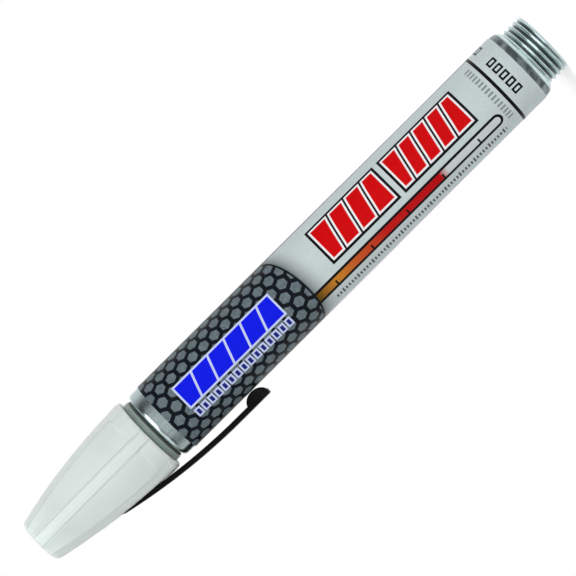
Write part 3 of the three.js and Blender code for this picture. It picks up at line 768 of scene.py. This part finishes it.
def felt_material():
    material, tree, shader = new_material("felt", Roughness=0.95, Sheen_Weight=0.3)
    fibres = noise(tree, FIBRE_SCALE, detail=4, roughness=0.7, stretch=(1, 1, 0.25))
    feed(shader, "Base Color", blend(fibres.ramp(*MIDDLE), rgb(214, 212, 203), rgb(243, 241, 233)))
    bump(shader, fibres, distance_mm=0.08, strength=0.6)
    return material


def steel_material():
    material, tree, shader = new_material("bright_steel", Metallic=1.0)
    haze = noise(tree, HAZE_SCALE)
    feed(shader, "Base Color", blend(haze.ramp(*MIDDLE), rgb(176, 180, 183), rgb(214, 217, 219)))
    roughen(shader, haze.ramp(*WIDE), low=0.14, spread=0.12)
    return material


# Printed film. Across is the distance round the film from the front, up is the height
FIELD_PALE, FIELD_SHADE = rgb(210, 221, 222), rgb(204, 216, 217)
CELL_PALE, CELL_SHADE = rgb(116, 130, 136), rgb(90, 103, 110)
NET = rgb(9, 17, 24)
INK = rgb(5, 6, 8)
PAPER = rgb(247, 244, 248)
BLUE, BLUE_LINE, DEEP_BLUE = rgb(10, 26, 238), rgb(206, 216, 250), rgb(30, 38, 130)
RED = rgb(216, 0, 5)
SHADOW, DIVIDER = rgb(52, 62, 64), rgb(70, 78, 80)
SCALE_GREY, SMALL_GREY = rgb(40, 46, 48), rgb(60, 66, 68)
GAUGE_COLOURS = [
    (31.2, rgb(214, 222, 222)),
    (33.0, rgb(194, 2, 12)),
    (48.0, rgb(204, 28, 26)),
    (56.0, rgb(206, 92, 42)),
    (61.5, rgb(212, 138, 46)),
    (67.0, rgb(80, 64, 18)),
]

HALF_TURN = math.pi * SLEEVE_RADIUS
LINE = 0.42
CRISP = 0.001  # softness of an edge that is a step

# How much each of these layers hides of what is below it
SHADOW_SHARE, DIVIDER_SHARE, SCALE_SHARE, SMALL_SHARE, SEAM_SHARE = 0.75, 0.7, 0.9, 0.6, 0.6

# Honeycomb, which ends in one arch on the front and one on the back
CELL_PITCH = 2.98  # from cell to cell along the marker
CELL_ROWS = 21  # rows of cells round the film, from seam to seam
CELL_HALF, CELL_SOFTNESS = 0.355, 0.03  # shares of the pitch
CELL_SHIFT_ACROSS, CELL_SHIFT_UP = 0.3, 0.24
ARCH_LOW, ARCH_CENTRE = 66.6, 2.2
ARCH_BEND = 46.6  # twice the arch's radius
SHADOW_REACH = 4.8
DIVIDER_HALF = 0.4
SEAM = ARCH_CENTRE + HALF_TURN / 2
SEAM_HALF = 0.12

# Blue bars and the stripe of marks beside them
BLUE_TOP, BLUE_BOTTOM, BLUE_LEFT, BLUE_RIGHT = 99.5, 73.1, -2.9, 2.8
BLUE_BARS, BLUE_GAP, BLUE_SLANT = 6, 0.5, 0.35
STRIPE_LEFT, STRIPE_RIGHT = 3.35, 5.35
STRIPE_MARKS, STRIPE_SHARE, STRIPE_LINE = 15, 0.42, 0.38

# Red bars, in panels given by their top, their bottom and how many bars they hold
RED_LEFT, RED_RIGHT = -6.6, 2.3
RED_PANELS = [(59.8, 41.5, 4), (40.1, 20.4, 5)]
RED_SLANT = 0.22

# Gauge and the fine scale beside it
GAUGE_MIDDLE, GAUGE_HALF, GAUGE_LINE = 5.28, 1.42, 0.58
GAUGE_END = 17.8  # height of the middle of its round end
GAUGE_TICKS, GAUGE_LOW_TICK, GAUGE_TICK_PITCH, TICK_HALF = 5, 22.9, 9.75, 0.2
SCALE_LEFT, SCALE_RIGHT, SCALE_TOP, SCALE_BOTTOM = 7.9, 9.4, 64.0, 17.2
SCALE_PITCH, SCALE_MARK_HALF, SCALE_SHORT_HALF = 0.8, 0.2, 0.5
SCALE_LONG_PITCH, SCALE_LONG_HALF = 4.0, 0.4

# Rows and ring near the tail
SMALL_ROW = (14.4, 15.8)
SMALL_PITCH, SMALL_HALF, SMALL_REACH = 0.9, 0.22, 7.1
BLACK_RING = (12.9, 13.6)
BOLD_ROW = (9.5, 11.6)
BOLD_PITCH, BOLD_HALF, BOLD_SHIFT = 1.84, 0.68, 5.0
BOLD_GROUPS = [(-5.0, 4.2), (-14.2, -8.68)]


class Print:
    """The film's picture, in layers. Each is painted through a mask over those before it."""

    def __init__(self, ground):
        self.colour = ground

    def paint(self, mask, colour):
        self.colour = blend(mask, self.colour, colour)


def honeycomb(across, up):
    """Mask of the cells of a net whose rows run along the marker."""
    row = math.sqrt(3) / 2
    x = (up + CELL_SHIFT_UP) / CELL_PITCH
    y = (across - CELL_SHIFT_ACROSS) * (CELL_ROWS * row / (2 * math.pi * SLEEVE_RADIUS))

    def from_cell(shift):
        """Distances to the nearest cell centre of one of the two lattices: hexagonal, and squared."""
        a = (x + shift).from_marks(1.0)
        b = (y + shift * 2 * row).from_marks(2 * row)
        return a.at_least(a * 0.5 + b * row), a * a + b * b

    first, first_square = from_cell(0.0)
    second, second_square = from_cell(0.5)
    nearer = (first_square - second_square).under(0.0, softness=0.0001)
    inside = first * nearer + second * (-nearer + 1.0)
    return inside.under(CELL_HALF, CELL_SOFTNESS)


def box_distance(across, up, left, right, bottom, top):
    """How far outside a rectangle a place is. Inside it, the distance is below 0."""
    sideways = abs(across - (left + right) / 2) - (right - left) / 2
    return sideways.at_least(abs(up - (bottom + top) / 2) - (top - bottom) / 2)


def bars_distance(along, across, low, high, count, slant, gap):
    """Distance to the nearest of a row of slanted bars. The first and the last reach on past low and high."""
    pitch = (high - low + gap) / count
    leaned = along - across * slant - low + gap / 2
    kept = leaned.at_least(pitch / 2).at_most((count - 0.5) * pitch)
    return kept.from_marks(pitch) - (pitch - gap) / 2


def paint_gauge(picture, across, up):
    """A round-ended outline with a coloured filling and short ticks."""
    sideways, beyond = across - GAUGE_MIDDLE, up - GAUGE_END
    from_middle = abs(sideways).at_least(length(sideways, beyond) * up.under(GAUGE_END, CRISP))
    picture.paint(from_middle.under(GAUGE_HALF), INK)
    filling = up.tree.nodes.new("ShaderNodeValToRGB")
    low, high = GAUGE_COLOURS[0][0], GAUGE_COLOURS[-1][0]
    up.tree.links.new(up.ramp(low, high).source, filling.inputs[0])
    stops = filling.color_ramp.elements
    while len(stops) < len(GAUGE_COLOURS):
        stops.new(0.5)
    for stop, (height, colour) in zip(stops, GAUGE_COLOURS):
        stop.position = (height - low) / (high - low)
        stop.color = colour
    picture.paint(from_middle.under(GAUGE_HALF - GAUGE_LINE), filling.outputs["Color"])
    left, right = GAUGE_MIDDLE - TICK_HALF, GAUGE_MIDDLE + GAUGE_HALF - TICK_HALF
    for i in range(GAUGE_TICKS):
        height = GAUGE_LOW_TICK + GAUGE_TICK_PITCH * i
        tick = box_distance(across, up, left, right, height - TICK_HALF, height + TICK_HALF)
        picture.paint(tick.under(0), INK)


def paint_rows(picture, across, up):
    """The fine scale beside the gauge, and the rows and the ring near the tail."""
    long_mark = up.from_marks(SCALE_LONG_PITCH).under(SCALE_LONG_HALF, CRISP)
    short_mark = abs(across - (SCALE_LEFT + SCALE_RIGHT) / 2).under(SCALE_SHORT_HALF)
    mark = up.from_marks(SCALE_PITCH).under(SCALE_MARK_HALF) * long_mark.at_least(short_mark)
    mark *= box_distance(across, up, SCALE_LEFT, SCALE_RIGHT, SCALE_BOTTOM, SCALE_TOP).under(0)
    picture.paint(mark * SCALE_SHARE, SCALE_GREY)
    small = across.from_marks(SMALL_PITCH).under(SMALL_HALF) * abs(across).under(SMALL_REACH)
    picture.paint(small * up.between(*SMALL_ROW) * SMALL_SHARE, SMALL_GREY)
    picture.paint(up.between(*BLACK_RING), INK)
    bottom, top = BOLD_ROW
    block = (across + BOLD_SHIFT).from_marks(BOLD_PITCH) - BOLD_HALF
    block = block.at_least(abs(up - (bottom + top) / 2) - (top - bottom) / 2)
    first, second = [across.between(*group) for group in BOLD_GROUPS]
    picture.paint((block.under(0) - block.under(-LINE)) * (first + second), INK)


def paint_panels(picture, across, up):
    """Slanted red bars, each in a pale line and a black one."""
    along = across - (RED_LEFT + RED_RIGHT) / 2
    for top, bottom, count in RED_PANELS:
        panel = box_distance(across, up, RED_LEFT, RED_RIGHT, bottom, top)
        low, high = bottom + 2 * LINE, top - 2 * LINE
        bar = bars_distance(up, along, low, high, count, RED_SLANT, 3 * LINE)
        shape = panel.at_least(bar - 2 * LINE)
        picture.paint(panel.under(LINE / 3), INK)
        picture.paint(shape.under(-LINE), PAPER)
        picture.paint(shape.under(-2 * LINE), RED)


def paint_blue(picture, across, up):
    """Slanted blue bars in a pale box, and a stripe of small boxes."""
    box = box_distance(across, up, BLUE_LEFT, BLUE_RIGHT, BLUE_BOTTOM, BLUE_TOP)
    along = across - (BLUE_LEFT + BLUE_RIGHT) / 2
    bar = bars_distance(up, along, BLUE_BOTTOM, BLUE_TOP, BLUE_BARS, BLUE_SLANT, BLUE_GAP)
    picture.paint(box.under(0), BLUE_LINE)
    picture.paint(box.at_least(bar - LINE).under(-LINE), BLUE)
    pitch = (BLUE_TOP - BLUE_BOTTOM) / STRIPE_MARKS
    mark = (up - BLUE_BOTTOM).from_marks(pitch) - STRIPE_SHARE * pitch
    mark = mark.at_least(box_distance(across, up, STRIPE_LEFT, STRIPE_RIGHT, BLUE_BOTTOM, BLUE_TOP))
    picture.paint(mark.under(0), BLUE_LINE)
    picture.paint(mark.under(-STRIPE_LINE), DEEP_BLUE)


def film_material():
    """The print, from its plain field up to the net and the bars on it."""
    material, tree, shader = new_material("printed_film", Roughness=0.34, Specular_IOR_Level=0.1)
    x, y, up = place_of(tree)
    turned = (-x).math("ARCTAN2", -y) * SLEEVE_RADIUS
    across = (turned - SEAM) % (2 * HALF_TURN) + (SEAM - 2 * HALF_TURN)
    mottle = noise(tree, MOTTLE_SCALE, roughness=0.6)
    picture = Print(blend(mottle.ramp(*NARROW), FIELD_SHADE, FIELD_PALE))

    # Shadow under the arched edge, and lines down the film between the arches
    from_arch = (across - ARCH_CENTRE + HALF_TURN / 2) % HALF_TURN - HALF_TURN / 2
    below_edge = from_arch * from_arch * (1 / ARCH_BEND) + ARCH_LOW - up
    shadow = below_edge.ramp(SHADOW_REACH, 0.0)
    picture.paint(shadow * shadow * SHADOW_SHARE, SHADOW)
    divider = (-abs(from_arch) + HALF_TURN / 2).under(DIVIDER_HALF) * (-up + BLACK_RING[0]).under(0)
    picture.paint(divider * DIVIDER_SHARE, DIVIDER)

    paint_gauge(picture, across, up)
    paint_rows(picture, across, up)
    paint_panels(picture, across, up)

    net = blend(honeycomb(across, up), NET, blend(mottle.ramp(*MIDDLE), CELL_SHADE, CELL_PALE))
    picture.paint(below_edge.under(0), NET)
    picture.paint(below_edge.under(-LINE), net)
    paint_blue(picture, across, up)

    from_seam = -abs(across - (SEAM - HALF_TURN)) + HALF_TURN
    picture.paint(from_seam.under(SEAM_HALF) * SEAM_SHARE, INK)

    feed(shader, "Base Color", picture.colour)
    roughen(shader, mottle.ramp(*WIDE), low=0.3, spread=0.08)
    bump(shader, mottle, distance_mm=0.012, strength=0.3)
    return material


aluminium = barrel_material()
steel = steel_material()
film = film_material()
cap_plastic = cap_material()
sheen = dict(Sheen_Weight=0.9, Sheen_Roughness=0.35)
# the collar is darker than the cap partly as painted shade of its recess under the cap's rim
collar_plastic = moulded_plastic("collar_plastic", rgb(148, 166, 158), rgb(135, 154, 146), 0.45, **sheen)
liner_plastic = moulded_plastic("liner_plastic", rgb(236, 238, 234), rgb(228, 231, 227), 0.5)
valve_plastic = moulded_plastic("valve_plastic", rgb(230, 231, 227), rgb(219, 221, 216), 0.45)
clip_black = moulded_plastic("clip_black", rgb(4, 4, 5), rgb(9, 9, 10), 0.26, 0.006, Specular_IOR_Level=0.1)
rubber = moulded_plastic("rubber", rgb(42, 40, 38), rgb(30, 29, 28), 0.72, 0.03)
felt = felt_material()
# the gasket's dark mottled colour stands partly for the shade in the gap between collar and barrel's rim:
# painted shade
stained_and_shaded_rubber = moulded_plastic("stained_and_shaded_gasket", rgb(104, 116, 108), rgb(44, 36, 32), 0.6, 0.03)


# Pieces

barrel_skin = revolve(barrel_profile(), shift=barrel_shift)
add_piece("barrel_shell", *barrel_skin, "barrel", "barrel_aluminium", aluminium, ["barrel"])
add_piece("printed_sleeve", *revolve(sleeve_profile()), "barrel", "printed_film", film, ["label_sleeve"])
front_skin = revolve(front_profile(), shift=front_shift)
add_piece("front_end", *front_skin, "barrel", "collar_plastic", collar_plastic, ["front_section"])
add_piece("collar_gasket", *revolve(gasket_profile()), "barrel", "rubber", stained_and_shaded_rubber, ["front_gasket"])
add_piece("felt_nib", *revolve(nib_profile(), NIB_SIDES), "nib", "felt", felt, ["nib"])
cap_skin = skin(cap_inside() + cap_outside())
cap = add_piece("fluted_cap", *cap_skin, "cap", "cap_plastic", cap_plastic, ["cap_shell"])
cut_away(cap, clip_seat())
add_piece("pocket_clip", *clip_mesh(), "clip", "clip_black", clip_black, ["clip"])

coil = add_piece("spring_coil", *coil_mesh(), "barrel", "steel", steel, ["valve_spring"])
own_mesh(coil)

# Solids that show as they are, with a finish
NODE_FINISHES = {
    "nib_wadding": felt,
    "valve_seat": rubber,
    "valve_housing": valve_plastic,
    "valve_rod": valve_plastic,
    "spring_retainer": valve_plastic,
    "mixing_ball_1": steel,
    "mixing_ball_2": steel,
    "cap_liner": liner_plastic,
    "cap_seal_disc": rubber,
}
for node, material in NODE_FINISHES.items():
    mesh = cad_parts[node].data
    mesh.materials.clear()
    mesh.materials.append(material)
    shade(mesh)


# Stage: floor, world, lights and camera
FLOOR_HALF, FLOOR_DROP = 3000, 0.1
FLOOR_GLOW = 0.35  # lifts the lit floor to white, so that only shadows show on it
FADE_NEAR, FADE_FAR = 30, 500  # from the marker's axis. Between them the glow rises to 1, as the lamps fade

BACKDROP_TURN = 0.05  # turns the middle of the backdrop from +Y a little to +X
BACKDROP_EDGE, BACKDROP_CURVE = -0.15, 0.6
BACKDROP_LIGHT = 0.5  # share of the backdrop that lights the marker, where it isn't mirrored
ROOM_EDGE, ROOM_RISE, ROOM_LEVEL = 0.45, 0.47, 0.07  # level all round, and its rise before the marker
CEILING_LOW, CEILING_HIGH, CEILING_SHADE = 0.35, 0.85, 0.8  # how much darker it gets overhead

# Azimuth, elevation and power. Azimuth 0 is the front, and 90 is +X
SOFTBOXES = {"key": (20, 50, 7.3), "fill": (-70, 55, 2.0), "back": (175, 45, 2.4)}
SOFTBOX_DISTANCE, SOFTBOX_SIZE = 1.0, 0.8  # in metres

CAMERA_AZIMUTH, CAMERA_ROLL = -3, -134.87  # the marker lies across the picture, so the camera is rolled
CAMERA_DISTANCE, CAMERA_HEIGHT = 643, 58.3
CAMERA_LENS, SENSOR_WIDTH = 204.2, 36
CAMERA_NEAR, CAMERA_FAR = 0.01, 20  # in metres, what the camera cuts off
AIM_HEIGHT, AIM_SIDE = 69.62, 1.1


def ray_is(tree, *kinds):
    """1 for the named kinds of ray, such as Camera, and 0 for the others."""
    path = tree.nodes.new("ShaderNodeLightPath")
    found = Value(tree, path.outputs[f"Is {kinds[0]} Ray"])
    for kind in kinds[1:]:
        found = found.at_least(Value(tree, path.outputs[f"Is {kind} Ray"]))
    return found


def make_floor():
    plain = dict(Base_Color=(0.9, 0.9, 0.9, 1), Specular_IOR_Level=0.0, Emission_Color=(1, 1, 1, 1))
    material, tree, shader = new_material("floor", Roughness=0.9, **plain)
    x, y, _ = place_of(tree)
    far = length(x, y).ramp(FADE_NEAR, FADE_FAR)
    seen = ray_is(tree, "Camera", "Glossy", "Transmission")
    feed(shader, "Emission Strength", seen * (far * (1 - FLOOR_GLOW) + FLOOR_GLOW))
    corners = [(-1, -1), (1, -1), (1, 1), (-1, 1)]
    mesh = bpy.data.meshes.new("floor")
    mesh.from_pydata([(x * FLOOR_HALF * MM, y * FLOOR_HALF * MM, 0) for x, y in corners], [], [(0, 1, 2, 3)])
    mesh.materials.append(material)
    floor = bpy.data.objects.new("floor", mesh)
    floor.location.z = -FLOOR_DROP * MM
    bpy.context.scene.collection.objects.link(floor)


def make_world():
    """White for the camera. As light, brightest behind the marker and dark beside and over it."""
    world = bpy.data.worlds.new("studio")
    bpy.context.scene.world = world
    world.use_nodes = True
    tree = world.node_tree
    background = tree.nodes["Background"]
    coordinates = tree.nodes.new("ShaderNodeTexCoord")
    split = tree.nodes.new("ShaderNodeSeparateXYZ")
    tree.links.new(coordinates.outputs["Generated"], split.inputs[0])
    x, y, height = [Value(tree, output) for output in split.outputs]
    depth = x * BACKDROP_TURN + y
    backdrop = depth.ramp(BACKDROP_EDGE, 1.0).math("POWER", BACKDROP_CURVE)
    room = (-depth).ramp(ROOM_EDGE, 1.0) * ROOM_RISE + ROOM_LEVEL
    ceiling = -height.ramp(CEILING_LOW, CEILING_HIGH) * CEILING_SHADE + 1.0
    light = (backdrop * BACKDROP_LIGHT + room) * ceiling
    reflected = backdrop.at_least(room) * ceiling
    seen = ray_is(tree, "Camera", "Transmission")
    strength = light.at_least(reflected * ray_is(tree, "Glossy")).at_least(seen)
    background.inputs["Color"].default_value = (1, 1, 1, 1)
    tree.links.new(strength.source, background.inputs["Strength"])


def add_softbox(name, azimuth, elevation, power):
    """A square light that faces the middle of the marker."""
    light = bpy.data.lights.new(name, "AREA")
    light.size, light.energy = SOFTBOX_SIZE, power
    lamp = bpy.data.objects.new(name, light)
    a, e = math.radians(azimuth), math.radians(elevation)
    back = Vector((math.sin(a) * math.cos(e), -math.cos(a) * math.cos(e), math.sin(e)))
    lamp.location = Vector((0, 0, OVERALL_LENGTH / 2 * MM)) + back * SOFTBOX_DISTANCE
    lamp.rotation_mode = "QUATERNION"
    lamp.rotation_quaternion = (-back).to_track_quat("-Z", "Y")
    bpy.context.scene.collection.objects.link(lamp)


def add_camera():
    azimuth, roll = math.radians(CAMERA_AZIMUTH), math.radians(CAMERA_ROLL)
    sine, cosine = math.sin(azimuth), math.cos(azimuth)
    place = Vector((sine * CAMERA_DISTANCE, -cosine * CAMERA_DISTANCE, CAMERA_HEIGHT)) * MM
    aim = (Vector((cosine, sine, 0)) * AIM_SIDE + Vector((0, 0, AIM_HEIGHT))) * MM
    data = bpy.data.cameras.new("camera")
    data.lens, data.sensor_width = CAMERA_LENS, SENSOR_WIDTH
    data.clip_start, data.clip_end = CAMERA_NEAR, CAMERA_FAR
    camera = bpy.data.objects.new("camera", data)
    camera.location = place
    camera.rotation_mode = "QUATERNION"
    camera.rotation_quaternion = (aim - place).to_track_quat("-Z", "Y") @ Quaternion((0, 0, 1), roll)
    bpy.context.scene.collection.objects.link(camera)
    bpy.context.scene.camera = camera


make_floor()
make_world()
for name, (azimuth, elevation, power) in SOFTBOXES.items():
    add_softbox(name, azimuth, elevation, power)
add_camera()
bpy.context.scene.view_settings.view_transform = "Standard"
